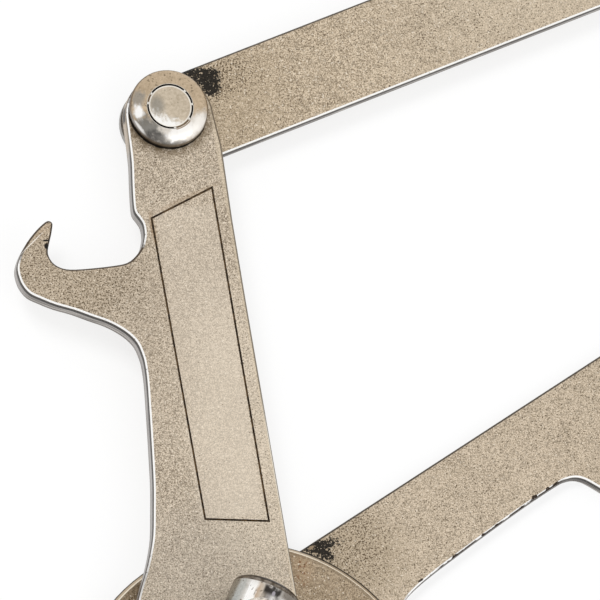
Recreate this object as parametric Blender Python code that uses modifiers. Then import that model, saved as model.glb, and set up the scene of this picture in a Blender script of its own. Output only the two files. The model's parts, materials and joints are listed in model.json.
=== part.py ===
"""Lever corkscrew of nickel-plated steel plates, lying on its back.

The origin is on the hub axis, in the plane that the tool lies on. +Y runs from the hub
to the stand rivet, and +Z is the tool's front. Lengths are in metres.
"""
import math

import bmesh
import bpy
from mathutils import Matrix, Vector

# Running gap between pieces that touch, and how far a cutter runs past what it cuts
GAP = 0.0003
OVERRUN = 0.0010
MERGE = 0.00001

# Plates, in order from the back
GRIP_THICKNESS = 0.0020
DISC_THICKNESS = 0.0020
STAND_THICKNESS = 0.0020
LEVER_THICKNESS = 0.0026
EDGE_ROUND = 0.00025

# Hook lever: hub to stand rivet, its sides and the cap hook on its left
LEVER_PITCH = 0.0782
LEVER_HALF_WIDTH = 0.0070
HOOK_REACH = 0.0220
FOOT_DROP = 0.0123
LEVER_END_RADIUS = 0.0056
END_SHIFT_SIDE = 0.0002
END_SHIFT_BACK = 0.0007

# Engraved frame on the lever
FRAME_LINE = 0.00026
FRAME_DEPTH = 0.00015

# Hub disc
DISC_RADIUS = 0.02265
DISC_RIM_ROUND = 0.0005

# Neck stand: rivet to the seat of its claw
STAND_SEAT = 0.0690
STAND_WIDTH = 0.01176
STAND_EDGE_SHIFT = 0.00132
STAND_END_BACK = 0.0009
STAND_ANGLE = math.radians(16.6)

# Grip bar
GRIP_LENGTH = 0.0920
GRIP_HEAD_RADIUS = 0.01455
GRIP_ANGLE = math.radians(27.2)
GRIP_STRAIGHT_ANGLE = math.radians(-90.0)

# Rivets, pins and washers
HUB_SHANK = 0.0025
HUB_HEAD = 0.0042
HUB_HEAD_DEPTH = 0.0011
STAND_SHANK = 0.0025
STAND_PEEN = 0.0027
WASHER_RADIUS = 0.0050
WASHER_RIM = 0.0006
WASHER_CROWN = 0.0014
WASHER_FACE = 0.0034
REAR_WASHER_THICKNESS = 0.0010
REAR_HEAD_RADIUS = 0.0038
REAR_HEAD_FLAT = 0.0028
PIN_SHANK = 0.0017
PIN_HEAD = 0.0024
PIN_HEAD_HEIGHT = 0.0011
PIN_FOOT = 0.0030
PIN_FOOT_DEPTH = 0.0009
STUD_RADIUS = 0.0020
STUD_SHANK = 0.0014
STUD_CLEAR = 0.0002

# Barrel and worm, which turn on a pin through the lever and the disc
PIN_SIDE = -0.00045
PIN_ALONG = 0.0093
WORM_ANGLE = math.radians(60.0)
BARREL_RADIUS = 0.0044
BARREL_TOP = 0.0057
BARREL_BOTTOM = 0.0120
BARREL_FLAT = 0.0001
BARREL_CHAMFER = 0.0005
BARREL_SHOULDER = 0.0010
SPOT_FACE_RADIUS = 0.0029
SPOT_FACE_DEPTH = 0.0008
BORE_DEPTH = 0.0070
SHANK_PIN_RADIUS = 0.0009
SHANK_PIN_ALONG = 0.0085
SHANK_PIN_SINK = 0.0001
WIRE_RADIUS = 0.00125
WORM_RADIUS = 0.00285
WORM_PITCH = 0.0086
WORM_TURNS = 5.0
WORM_SHANK = 0.0030
WORM_RUN_IN = 0.0050
WORM_TIP = 0.0002

ROUND_STEPS = 48
DISC_STEPS = 96
HOLE_STEPS = 32
PATH_STEPS = 3
TURN_POINTS = 16

# Outer edge of the lever from its upper end to the step over the hook:
# shares of LEVER_HALF_WIDTH and of LEVER_PITCH
UPPER_EDGE_SHARES = [
    (-0.779, 0.953), (-0.794, 0.919), (-0.839, 0.883), (-0.869, 0.854), (-0.869, 0.837),
    (-0.807, 0.826), (-0.753, 0.815), (-0.750, 0.800),
]
# Throat, point and back of the cap hook: shares of HOOK_REACH and of LEVER_PITCH
HOOK_SHARES = [
    (-0.247, 0.790), (-0.266, 0.777), (-0.309, 0.763), (-0.365, 0.753), (-0.452, 0.750),
    (-0.589, 0.749), (-0.696, 0.750), (-0.755, 0.755), (-0.795, 0.765), (-0.812, 0.780),
    (-0.798, 0.795), (-0.779, 0.809), (-0.765, 0.822), (-0.761, 0.829), (-0.775, 0.833),
    (-0.799, 0.832), (-0.856, 0.820), (-0.922, 0.801), (-0.975, 0.779), (-1.000, 0.761),
    (-0.999, 0.745), (-0.984, 0.730), (-0.950, 0.716), (-0.893, 0.706), (-0.811, 0.694),
    (-0.711, 0.683), (-0.615, 0.670), (-0.531, 0.659), (-0.465, 0.647), (-0.413, 0.634),
    (-0.376, 0.619), (-0.358, 0.601), (-0.351, 0.585),
]
# Outer edge below the hook, down to the foot: shares of LEVER_HALF_WIDTH and of LEVER_PITCH
LOWER_EDGE_SHARES = [
    (-1.107, 0.556), (-1.143, 0.514), (-1.181, 0.473), (-1.224, 0.430), (-1.274, 0.385),
    (-1.343, 0.343), (-1.417, 0.303), (-1.524, 0.271), (-1.646, 0.243), (-1.757, 0.221),
    (-1.886, 0.192), (-2.014, 0.153), (-2.114, 0.109), (-2.171, 0.058),
]
# Round foot under the hub: shares of LEVER_HALF_WIDTH and of FOOT_DROP
FOOT_SHARES = [
    (-2.160, 0.040), (-1.943, -0.325), (-1.571, -0.650), (-1.029, -0.894), (-0.400, -1.000),
    (0.229, -0.943), (0.714, -0.715), (0.986, -0.374), (1.060, 0.040),
]
# Nearly straight inner edge, from the foot up: shares of LEVER_HALF_WIDTH and of LEVER_PITCH
INNER_EDGE_SHARES = [
    (1.040, 0.077), (1.006, 0.180), (0.963, 0.373), (0.900, 0.675), (0.880, 0.810), (0.890, 0.935),
]
# Corners of the engraved frame: shares of LEVER_HALF_WIDTH and of LEVER_PITCH
FRAME_SHARES = [(0.610, 0.868), (-0.609, 0.824), (-0.460, 0.319), (0.721, 0.306)]

# Claw of the neck stand, from its upper edge to its lower edge:
# shares of STAND_SEAT along the bar and of STAND_WIDTH across it
CLAW_SHARES = [
    (0.900, 0.500), (1.010, 0.505), (1.065, 0.478), (1.098, 0.405), (1.102, 0.300),
    (1.082, 0.205), (1.045, 0.150), (1.012, 0.080), (0.994, -0.030), (0.996, -0.140),
    (1.012, -0.240), (1.020, -0.340), (1.012, -0.440), (0.985, -0.495), (0.930, -0.505),
    (0.880, -0.500),
]

# Lower edge of the grip bar, from its round end back to its head:
# shares of GRIP_LENGTH along the bar and of GRIP_HEAD_RADIUS across it
GRIP_EDGE_SHARES = [
    (0.902, -0.241), (0.810, -0.262), (0.730, -0.262), (0.680, -0.246), (0.645, -0.205),
    (0.622, -0.130), (0.609, -0.020), (0.601, 0.080), (0.593, 0.175), (0.584, 0.231),
    (0.573, 0.260), (0.558, 0.271), (0.500, 0.267), (0.435, 0.250), (0.380, 0.230),
    (0.341, 0.214), (0.306, 0.188), (0.281, 0.145), (0.245, 0.021), (0.207, -0.179),
    (0.168, -0.400), (0.134, -0.600),
]
GRIP_END_SHARES = (0.902, 0.379)
GRIP_END_RADIUS_SHARE = 0.621
GRIP_HEAD_JOIN = math.radians(-48.0)
# Which point of that edge meets the stop stud once the bar is straight
GRIP_STOP_POINT = 20

# Levels of the stack, counted from the plane that the tool lies on
GRIP_TOP = GRIP_THICKNESS
DISC_BOTTOM = GRIP_TOP + GAP
DISC_TOP = DISC_BOTTOM + DISC_THICKNESS
LEVER_BOTTOM = DISC_TOP + GAP
LEVER_TOP = LEVER_BOTTOM + LEVER_THICKNESS
STAND_TOP = LEVER_BOTTOM - GAP
STAND_BOTTOM = STAND_TOP - STAND_THICKNESS
WASHER_BOTTOM = LEVER_TOP + GAP
WASHER_TOP = WASHER_BOTTOM + WASHER_CROWN
REAR_WASHER_TOP = STAND_BOTTOM - GAP
REAR_WASHER_BOTTOM = REAR_WASHER_TOP - REAR_WASHER_THICKNESS
REAR_HEAD_TOP = REAR_WASHER_BOTTOM - GAP
BARREL_AXIS = LEVER_TOP + GAP + BARREL_RADIUS - BARREL_FLAT
SPOT_FACE = BARREL_AXIS + BARREL_RADIUS - SPOT_FACE_DEPTH
PIN_HEAD_BOTTOM = SPOT_FACE + GAP
PIN_HEAD_TOP = PIN_HEAD_BOTTOM + PIN_HEAD_HEIGHT


def clear_scene():
    """Remove every object that the file opens with."""
    for old in list(bpy.data.objects):
        bpy.data.objects.remove(old, do_unlink=True)


def new_collection(name):
    """Add a collection to the scene."""
    made = bpy.data.collections.new(name)
    bpy.context.scene.collection.children.link(made)
    return made


def metal(name, colour, roughness):
    """Make a plain metal with one colour and roughness."""
    made = bpy.data.materials.new(name)
    made.use_nodes = True
    shader = made.node_tree.nodes["Principled BSDF"]
    shader.inputs["Base Color"].default_value = (*colour, 1.0)
    shader.inputs["Metallic"].default_value = 1.0
    shader.inputs["Roughness"].default_value = roughness
    return made


def scaled(shares, along, across):
    """Turn pairs of shares into points."""
    return [(share_x * along, share_y * across) for share_x, share_y in shares]


def smooth_path(points, steps=PATH_STEPS):
    """Run a smooth open curve through points, with steps pieces between two of them."""
    padded = [points[0]] + list(points) + [points[-1]]
    path = []
    for index in range(1, len(padded) - 2):
        before, start, end, after = [Vector(point) for point in padded[index - 1:index + 3]]
        for step in range(steps):
            t = step / steps
            bend = 2.0 * before - 5.0 * start + 4.0 * end - after
            twist = 3.0 * start - before - 3.0 * end + after
            point = start + 0.5 * ((end - before) * t + bend * t ** 2 + twist * t ** 3)
            path.append(tuple(point))
    path.append(tuple(points[-1]))
    return path


def arc(centre, radius, start, end, steps):
    """List points on an arc, both ends included."""
    points = []
    for step in range(steps + 1):
        angle = start + (end - start) * step / steps
        points.append((centre[0] + radius * math.cos(angle), centre[1] + radius * math.sin(angle)))
    return points


def circle(radius):
    """List the points of a round hole at the local origin."""
    return arc((0.0, 0.0), radius, 0.0, math.tau, HOLE_STEPS)[:-1]


def inset(corners, width):
    """Move each side of an outline that runs anticlockwise inwards by a width."""
    moved = []
    for index, corner in enumerate(corners):
        here = Vector(corner)
        arriving = (here - Vector(corners[index - 1])).normalized()
        leaving = (Vector(corners[(index + 1) % len(corners)]) - here).normalized()
        inward = Vector((-arriving.y - leaving.y, arriving.x + leaving.x)).normalized()
        depth = width / inward.dot(Vector((-arriving.y, arriving.x)))
        moved.append(tuple(here + depth * inward))
    return moved


def without_doubles(points):
    """Drop points that repeat the one before them, also round the end."""
    kept = []
    for point in points:
        if not kept or (Vector(point) - Vector(kept[-1])).length > MERGE:
            kept.append(point)
    if (Vector(kept[0]) - Vector(kept[-1])).length <= MERGE:
        kept.pop()
    return kept


def link(made, group, material=None):
    """Put an object in a collection and give it its material."""
    group.objects.link(made)
    if material is not None:
        made.data.materials.clear()
        made.data.materials.append(material)
    return made


def as_mesh(curve_object):
    """Replace a curve object with a welded mesh of the same name and place."""
    bpy.context.view_layer.update()
    graph = bpy.context.evaluated_depsgraph_get()
    mesh = bpy.data.meshes.new_from_object(curve_object.evaluated_get(graph))
    shaped = bmesh.new()
    shaped.from_mesh(mesh)
    bmesh.ops.remove_doubles(shaped, verts=shaped.verts, dist=MERGE)
    bmesh.ops.recalc_face_normals(shaped, faces=shaped.faces)
    shaped.to_mesh(mesh)
    shaped.free()
    name = curve_object.name
    place = curve_object.matrix_world.copy()
    group = curve_object.users_collection[0]
    curve = curve_object.data
    bpy.data.objects.remove(curve_object)
    bpy.data.curves.remove(curve)
    made = bpy.data.objects.new(name, mesh)
    made.matrix_world = place
    group.objects.link(made)
    return made


def flat_piece(name, loops, bottom, thickness, group, edge=0.0):
    """Extrude closed outlines, the first of them outside, into a plate with eased rims."""
    curve = bpy.data.curves.new(name, "CURVE")
    curve.dimensions = "2D"
    curve.fill_mode = "BOTH"
    curve.extrude = thickness / 2.0 - edge
    curve.bevel_depth = edge
    curve.bevel_resolution = 0
    curve.offset = -edge
    for loop in loops:
        spline = curve.splines.new("POLY")
        spline.points.add(len(loop) - 1)
        for point, (x, y) in zip(spline.points, loop):
            point.co = (x, y, 0.0, 1.0)
        spline.use_cyclic_u = True
    made = bpy.data.objects.new(name, curve)
    made.location.z = bottom + thickness / 2.0
    group.objects.link(made)
    return as_mesh(made)


def turned(name, profile, group, closed=False, steps=ROUND_STEPS):
    """Turn a profile of radius and height pairs about Z, outer side from top to bottom."""
    mesh = bpy.data.meshes.new(name)
    points = [(radius, 0.0, height) for radius, height in profile]
    edges = [(index, index + 1) for index in range(len(points) - 1)]
    if closed:
        edges.append((len(points) - 1, 0))
    mesh.from_pydata(points, edges, [])
    made = bpy.data.objects.new(name, mesh)
    group.objects.link(made)
    screw = made.modifiers.new("turned", "SCREW")
    screw.angle = math.tau
    screw.steps = steps
    screw.render_steps = steps
    screw.use_merge_vertices = True
    screw.merge_threshold = MERGE
    return made


def cutter(made, group):
    """Hide a shape that only cuts, and keep it in the cutters' collection."""
    for old in list(made.users_collection):
        old.objects.unlink(made)
    group.objects.link(made)
    made.hide_render = True
    made.display_type = "WIRE"
    return made


def cut(made, tool):
    """Take a cutter's shape out of a piece."""
    modifier = made.modifiers.new("cut_" + tool.name, "BOOLEAN")
    modifier.operation = "DIFFERENCE"
    modifier.solver = "EXACT"
    modifier.object = tool


def drill(name, radius, bottom, top, place, cutters):
    """Make a round cutter along Z that runs past both levels."""
    profile = [(0.0, top + OVERRUN), (radius, top + OVERRUN),
               (radius, bottom - OVERRUN), (0.0, bottom - OVERRUN)]
    made = turned(name, profile, cutters, steps=HOLE_STEPS)
    made.location = (place[0], place[1], 0.0)
    return cutter(made, cutters)


def countersink(name, shank, head, face, depth, facing, place, cutters):
    """Make a conical cutter for a flush head whose face is at a level, facing up or down."""
    wide = head + GAP
    narrow = shank + GAP
    if facing > 0:
        profile = [(0.0, face + OVERRUN), (wide, face + OVERRUN), (wide, face),
                   (narrow, face - depth), (0.0, face - depth)]
    else:
        profile = [(0.0, face + depth), (narrow, face + depth), (wide, face),
                   (wide, face - OVERRUN), (0.0, face - OVERRUN)]
    made = turned(name, profile, cutters, steps=HOLE_STEPS)
    made.location = (place[0], place[1], 0.0)
    return cutter(made, cutters)


HUB = (0.0, 0.0)
STAND_PIVOT = (0.0, LEVER_PITCH)
WORM_PIVOT = (PIN_SIDE, PIN_ALONG)


def grip_stop_place():
    """Place the stud where it meets the grip bar's lower edge once the bar is straight."""
    points = scaled(GRIP_EDGE_SHARES, GRIP_LENGTH, GRIP_HEAD_RADIUS)
    before, edge, after = [Vector(point) for point in points[GRIP_STOP_POINT - 1:][:3]]
    along = (before - after).normalized()
    outward = Vector((along.y, -along.x))
    local = edge + (STUD_RADIUS + GAP) * outward
    turn = Matrix.Rotation(GRIP_STRAIGHT_ANGLE, 2)
    return tuple(turn @ local)


def lever_outline():
    """Go round the hook lever: upper end, hook side, foot and inner edge."""
    end = (END_SHIFT_SIDE, LEVER_PITCH - END_SHIFT_BACK)
    top = arc(end, LEVER_END_RADIUS, 0.0, math.pi, ROUND_STEPS // 2)
    side = scaled(UPPER_EDGE_SHARES, LEVER_HALF_WIDTH, LEVER_PITCH)
    side += scaled(HOOK_SHARES, HOOK_REACH, LEVER_PITCH)
    side += scaled(LOWER_EDGE_SHARES, LEVER_HALF_WIDTH, LEVER_PITCH)
    side += scaled(FOOT_SHARES, LEVER_HALF_WIDTH, FOOT_DROP)
    inner = scaled(INNER_EDGE_SHARES, LEVER_HALF_WIDTH, LEVER_PITCH)
    return without_doubles(top + smooth_path(side) + inner)


def make_hook_lever(parts, cutters, material):
    """Make the long lever with the cap hook and the engraved frame."""
    lever = flat_piece("hook_lever", [lever_outline()], LEVER_BOTTOM, LEVER_THICKNESS, parts,
                       EDGE_ROUND)
    lever.data.materials.append(material)
    cut(lever, drill("lever_hub_bore", HUB_SHANK + GAP, LEVER_BOTTOM, LEVER_TOP, HUB, cutters))
    cut(lever, countersink("lever_hub_sink", HUB_SHANK, HUB_HEAD, LEVER_TOP, HUB_HEAD_DEPTH,
                           1, HUB, cutters))
    cut(lever, drill("lever_stand_bore", STAND_SHANK + GAP, LEVER_BOTTOM, LEVER_TOP,
                     STAND_PIVOT, cutters))
    cut(lever, drill("lever_worm_bore", PIN_SHANK + GAP, LEVER_BOTTOM, LEVER_TOP,
                     WORM_PIVOT, cutters))
    corners = scaled(FRAME_SHARES, LEVER_HALF_WIDTH, LEVER_PITCH)
    groove = flat_piece("lever_frame_groove", [corners, inset(corners, FRAME_LINE)],
                        LEVER_TOP - FRAME_DEPTH, FRAME_DEPTH + OVERRUN, parts)
    cut(lever, cutter(groove, cutters))
    return lever


def make_hub_disc(parts, cutters, material):
    """Make the round disc that is riveted behind the lever."""
    low = DISC_BOTTOM
    high = DISC_TOP
    profile = [(0.0, high), (DISC_RADIUS - DISC_RIM_ROUND, high),
               (DISC_RADIUS, high - DISC_RIM_ROUND), (DISC_RADIUS, low + DISC_RIM_ROUND),
               (DISC_RADIUS - DISC_RIM_ROUND, low), (0.0, low)]
    disc = turned("hub_disc", profile, parts, steps=DISC_STEPS)
    disc.data.materials.append(material)
    cut(disc, drill("disc_hub_bore", HUB_SHANK + GAP, low, high, HUB, cutters))
    cut(disc, drill("disc_worm_bore", PIN_SHANK + GAP, low, high, WORM_PIVOT, cutters))
    cut(disc, countersink("disc_worm_sink", PIN_SHANK, PIN_FOOT, low, PIN_FOOT_DEPTH,
                          -1, WORM_PIVOT, cutters))
    cut(disc, drill("disc_stud_bore", STUD_SHANK + GAP, low, high, grip_stop_place(), cutters))
    return disc


def make_neck_stand(parts, cutters, material):
    """Make the flat stand that swings on the stand rivet and ends in a claw."""
    half = STAND_WIDTH / 2.0
    back = arc((STAND_END_BACK, 0.0), half, -math.pi / 2.0, -1.5 * math.pi, ROUND_STEPS // 2)
    claw = smooth_path(scaled(CLAW_SHARES, STAND_SEAT, STAND_WIDTH))
    outline = [(x, y - STAND_EDGE_SHIFT) for x, y in back + claw]
    stand = flat_piece("neck_stand", [without_doubles(outline)], STAND_BOTTOM,
                       STAND_THICKNESS, parts, EDGE_ROUND)
    stand.data.materials.append(material)
    stand.location.x = STAND_PIVOT[0]
    stand.location.y = STAND_PIVOT[1]
    stand.rotation_euler.z = STAND_ANGLE
    cut(stand, drill("stand_bore", STAND_SHANK + GAP, STAND_BOTTOM, STAND_TOP,
                     STAND_PIVOT, cutters))
    return stand


def make_grip_bar(parts, cutters, material):
    """Make the grip bar, whose round head turns on the hub behind the disc."""
    centre = (GRIP_END_SHARES[0] * GRIP_LENGTH, GRIP_END_SHARES[1] * GRIP_HEAD_RADIUS)
    end_radius = GRIP_END_RADIUS_SHARE * GRIP_HEAD_RADIUS
    head = arc(HUB, GRIP_HEAD_RADIUS, GRIP_HEAD_JOIN, -1.5 * math.pi, ROUND_STEPS // 2)
    end = arc(centre, end_radius, math.pi / 2.0, -math.pi / 2.0, ROUND_STEPS // 2)
    lower = smooth_path(scaled(GRIP_EDGE_SHARES, GRIP_LENGTH, GRIP_HEAD_RADIUS))
    outline = without_doubles(head + end + lower)
    bar = flat_piece("grip_bar", [outline], 0.0, GRIP_THICKNESS, parts, EDGE_ROUND)
    bar.data.materials.append(material)
    bar.rotation_euler.z = GRIP_ANGLE
    cut(bar, drill("grip_bore", HUB_SHANK + GAP, 0.0, GRIP_TOP, HUB, cutters))
    cut(bar, countersink("grip_sink", HUB_SHANK, HUB_HEAD, 0.0, HUB_HEAD_DEPTH,
                         -1, HUB, cutters))
    return bar


def make_rivets(parts, plain, bright):
    """Make the rivets, the stop stud and the two washers of the stand rivet."""
    hub = turned("hub_rivet", [
        (0.0, LEVER_TOP), (HUB_HEAD, LEVER_TOP), (HUB_SHANK, LEVER_TOP - HUB_HEAD_DEPTH),
        (HUB_SHANK, HUB_HEAD_DEPTH), (HUB_HEAD, 0.0), (0.0, 0.0)], parts)
    hub.data.materials.append(plain)

    stand = turned("stand_rivet", [
        (0.0, WASHER_TOP), (STAND_PEEN, WASHER_TOP), (STAND_PEEN, WASHER_BOTTOM),
        (STAND_SHANK, WASHER_BOTTOM), (STAND_SHANK, REAR_HEAD_TOP),
        (REAR_HEAD_RADIUS, REAR_HEAD_TOP), (REAR_HEAD_FLAT, 0.0), (0.0, 0.0)], parts)
    stand.location = (*STAND_PIVOT, 0.0)
    stand.data.materials.append(plain)

    bore = STAND_PEEN + GAP
    front = turned("stand_front_washer", washer_profile(bore), parts, closed=True)
    front.location = (*STAND_PIVOT, 0.0)
    front.data.materials.append(bright)

    bore = STAND_SHANK + GAP
    rear = turned("stand_rear_washer", [
        (WASHER_RADIUS, REAR_WASHER_TOP), (WASHER_RADIUS, REAR_WASHER_BOTTOM),
        (bore, REAR_WASHER_BOTTOM), (bore, REAR_WASHER_TOP)], parts, closed=True)
    rear.location = (*STAND_PIVOT, 0.0)
    rear.data.materials.append(plain)

    stud = turned("grip_stop_stud", [
        (0.0, DISC_TOP), (STUD_SHANK, DISC_TOP), (STUD_SHANK, GRIP_TOP),
        (STUD_RADIUS, GRIP_TOP), (STUD_RADIUS, STUD_CLEAR), (0.0, STUD_CLEAR)], parts)
    stud.location = (*grip_stop_place(), 0.0)
    stud.data.materials.append(plain)


def washer_profile(bore):
    """Give the front washer a low dome that is flat round its bore."""
    crown = WASHER_CROWN - WASHER_RIM
    run = WASHER_RADIUS - WASHER_FACE
    dome = [(bore, WASHER_TOP), (WASHER_FACE, WASHER_TOP)]
    steps = 5
    for step in range(1, steps + 1):
        angle = math.pi / 2.0 * step / steps
        dome.append((WASHER_FACE + run * math.sin(angle),
                     WASHER_BOTTOM + WASHER_RIM + crown * math.cos(angle)))
    return dome + [(WASHER_RADIUS, WASHER_BOTTOM), (bore, WASHER_BOTTOM)]


def worm_matrix():
    """Place the barrel's own axis: local Z runs from the pin up to the barrel's blunt end."""
    place = Matrix.Translation((*WORM_PIVOT, BARREL_AXIS))
    turn = Matrix.Rotation(WORM_ANGLE, 4, "Z")
    lay = Matrix.Rotation(math.pi / 2.0, 4, "Y")
    return place @ turn @ lay


def make_worm_barrel(parts, cutters, material):
    """Make the barrel: cross-bored for its pin, with a flat under it and a bore for the worm."""
    round_edge = BARREL_CHAMFER
    inner = (BARREL_RADIUS - BARREL_SHOULDER, BARREL_TOP - BARREL_SHOULDER)
    profile = [(0.0, BARREL_TOP)] + arc(inner, BARREL_SHOULDER, math.pi / 2.0, 0.0, 4)
    profile += [(BARREL_RADIUS, round_edge - BARREL_BOTTOM),
                (BARREL_RADIUS - round_edge, -BARREL_BOTTOM), (0.0, -BARREL_BOTTOM)]
    barrel = turned("worm_barrel", profile, parts)
    barrel.matrix_world = worm_matrix()
    barrel.data.materials.append(material)
    top = BARREL_AXIS + BARREL_RADIUS
    cut(barrel, drill("barrel_pin_bore", PIN_SHANK + GAP, LEVER_TOP, top, WORM_PIVOT, cutters))
    cut(barrel, drill("barrel_spot_face", SPOT_FACE_RADIUS, SPOT_FACE + OVERRUN, top,
                      WORM_PIVOT, cutters))

    bpy.ops.mesh.primitive_cube_add(size=1.0)
    under = bpy.context.active_object
    under.name = "barrel_flat"
    length = BARREL_TOP + BARREL_BOTTOM + 2.0 * OVERRUN
    under.data.transform(Matrix.Diagonal((2.0 * BARREL_RADIUS, length, OVERRUN, 1.0)))
    middle = worm_matrix() @ Vector((0.0, 0.0, (BARREL_TOP - BARREL_BOTTOM) / 2.0))
    under.location = (middle.x, middle.y, LEVER_TOP + GAP - OVERRUN / 2.0)
    under.rotation_euler.z = WORM_ANGLE - math.pi / 2.0
    cut(barrel, cutter(under, cutters))

    bore = turned("barrel_worm_bore", [
        (0.0, BORE_DEPTH - BARREL_BOTTOM), (WIRE_RADIUS + GAP, BORE_DEPTH - BARREL_BOTTOM),
        (WIRE_RADIUS + GAP, -BARREL_BOTTOM - OVERRUN), (0.0, -BARREL_BOTTOM - OVERRUN)],
        cutters, steps=HOLE_STEPS)
    bore.matrix_world = worm_matrix()
    cut(barrel, cutter(bore, cutters))

    peg_place = worm_matrix() @ Vector((0.0, 0.0, -SHANK_PIN_ALONG))
    cut(barrel, drill("barrel_peg_bore", SHANK_PIN_RADIUS + GAP, BARREL_AXIS + OVERRUN, top,
                      (peg_place.x, peg_place.y), cutters))
    return barrel


def make_worm_pins(parts, material):
    """Make the pin that the barrel turns on, and the peg that holds the worm in the barrel."""
    pin = turned("worm_pin", [
        (0.0, PIN_HEAD_TOP), (PIN_HEAD / 2.0, PIN_HEAD_TOP - PIN_HEAD_HEIGHT / 8.0),
        (PIN_HEAD, PIN_HEAD_BOTTOM + PIN_HEAD_HEIGHT / 3.0), (PIN_HEAD, PIN_HEAD_BOTTOM),
        (PIN_SHANK, PIN_HEAD_BOTTOM), (PIN_SHANK, DISC_BOTTOM + PIN_FOOT_DEPTH),
        (PIN_FOOT, DISC_BOTTOM), (0.0, DISC_BOTTOM)], parts)
    pin.location = (*WORM_PIVOT, 0.0)
    pin.data.materials.append(material)

    peg_place = worm_matrix() @ Vector((0.0, 0.0, -SHANK_PIN_ALONG))
    low = BARREL_AXIS + WIRE_RADIUS + GAP
    high = BARREL_AXIS + BARREL_RADIUS - SHANK_PIN_SINK
    peg = turned("shank_peg", [
        (0.0, high), (SHANK_PIN_RADIUS, high), (SHANK_PIN_RADIUS, low), (0.0, low)],
        parts, steps=HOLE_STEPS // 2)
    peg.location = (peg_place.x, peg_place.y, 0.0)
    peg.data.materials.append(material)


def worm_points():
    """List the worm's centre line and wire size, from its shank down to its point."""
    points = []
    start = GAP + BARREL_BOTTOM - BORE_DEPTH
    run_in_start = BARREL_BOTTOM + WORM_SHANK
    for depth in (start, (start + run_in_start) / 2.0, run_in_start):
        points.append((Vector((0.0, 0.0, -depth)), 1.0))
    run_turn = WORM_RUN_IN / WORM_PITCH
    steps = round(TURN_POINTS * (run_turn + WORM_TURNS))
    for step in range(1, steps + 1):
        turn = step / TURN_POINTS
        share = min(1.0, turn / run_turn)
        radius = WORM_RADIUS * share * share * (3.0 - 2.0 * share)
        angle = -math.tau * turn
        left = (steps - step) / TURN_POINTS
        thin = min(1.0, WORM_TIP / WIRE_RADIUS + left * (1.0 - WORM_TIP / WIRE_RADIUS))
        points.append((Vector((radius * math.cos(angle), radius * math.sin(angle),
                               -run_in_start - turn * WORM_PITCH)), thin))
    return points


def least_gap(points):
    """Measure the least gap between turns of the wire that are not neighbours."""
    apart = TURN_POINTS // 2
    nearest = math.inf
    for index, (first, _) in enumerate(points):
        for second, _ in points[index + apart:]:
            nearest = min(nearest, (first - second).length)
    return nearest - 2.0 * WIRE_RADIUS


def make_worm(parts, material):
    """Make the helical worm as one wire."""
    points = worm_points()
    curve = bpy.data.curves.new("worm", "CURVE")
    curve.dimensions = "3D"
    curve.bevel_depth = WIRE_RADIUS
    curve.bevel_resolution = 3
    curve.use_fill_caps = True
    curve.twist_mode = "MINIMUM"
    spline = curve.splines.new("POLY")
    spline.points.add(len(points) - 1)
    for target, (place, thin) in zip(spline.points, points):
        target.co = (*place, 1.0)
        target.radius = thin
    worm = bpy.data.objects.new("worm", curve)
    worm.matrix_world = worm_matrix()
    link(worm, parts, material)
    print("least gap between the worm's turns, mm:", round(1000.0 * least_gap(points), 2))
    return worm


def shade_pieces(parts):
    """Shade round pieces smooth and keep their rims sharp."""
    for piece in parts.objects:
        if piece.type == "MESH":
            piece.data.shade_smooth()
            piece.data.set_sharp_from_angle(angle=math.radians(35.0))


def build():
    """Model the corkscrew."""
    clear_scene()
    parts = new_collection("lever_corkscrew")
    cutters = new_collection("cutters")
    worn = metal("worn_nickel", (0.56, 0.51, 0.44), 0.42)
    bright = metal("bright_nickel", (0.68, 0.65, 0.61), 0.22)
    steel = metal("plain_steel", (0.50, 0.48, 0.45), 0.34)
    make_hook_lever(parts, cutters, worn)
    make_hub_disc(parts, cutters, worn)
    make_neck_stand(parts, cutters, worn)
    make_grip_bar(parts, cutters, worn)
    make_rivets(parts, steel, bright)
    make_worm_barrel(parts, cutters, bright)
    make_worm_pins(parts, steel)
    make_worm(parts, steel)
    shade_pieces(parts)
    bpy.context.view_layer.update()


build()
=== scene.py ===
"""Looks for the lever corkscrew: worn nickel plate, grime, chips, painted highlights, reflections
and shade, and a plain studio.
"""
import json
import math

import bpy
from mathutils import Matrix, Vector

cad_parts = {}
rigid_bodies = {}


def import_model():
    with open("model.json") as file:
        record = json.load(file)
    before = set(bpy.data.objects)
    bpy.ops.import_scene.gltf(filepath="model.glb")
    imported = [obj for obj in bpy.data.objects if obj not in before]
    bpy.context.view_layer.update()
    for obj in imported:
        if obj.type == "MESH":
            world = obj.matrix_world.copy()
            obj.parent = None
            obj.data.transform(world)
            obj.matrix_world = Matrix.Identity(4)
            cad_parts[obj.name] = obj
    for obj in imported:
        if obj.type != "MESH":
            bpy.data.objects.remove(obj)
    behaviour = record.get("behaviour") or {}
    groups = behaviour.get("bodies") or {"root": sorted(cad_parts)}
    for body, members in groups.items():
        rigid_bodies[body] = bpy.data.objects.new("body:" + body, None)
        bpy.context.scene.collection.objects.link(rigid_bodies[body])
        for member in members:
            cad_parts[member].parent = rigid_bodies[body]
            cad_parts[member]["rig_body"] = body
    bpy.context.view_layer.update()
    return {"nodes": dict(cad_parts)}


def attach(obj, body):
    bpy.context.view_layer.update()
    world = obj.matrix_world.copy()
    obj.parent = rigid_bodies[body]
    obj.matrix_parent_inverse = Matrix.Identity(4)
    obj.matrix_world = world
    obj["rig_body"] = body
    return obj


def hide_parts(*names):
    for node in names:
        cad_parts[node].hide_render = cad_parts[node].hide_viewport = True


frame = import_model()

MM = 0.001

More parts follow.
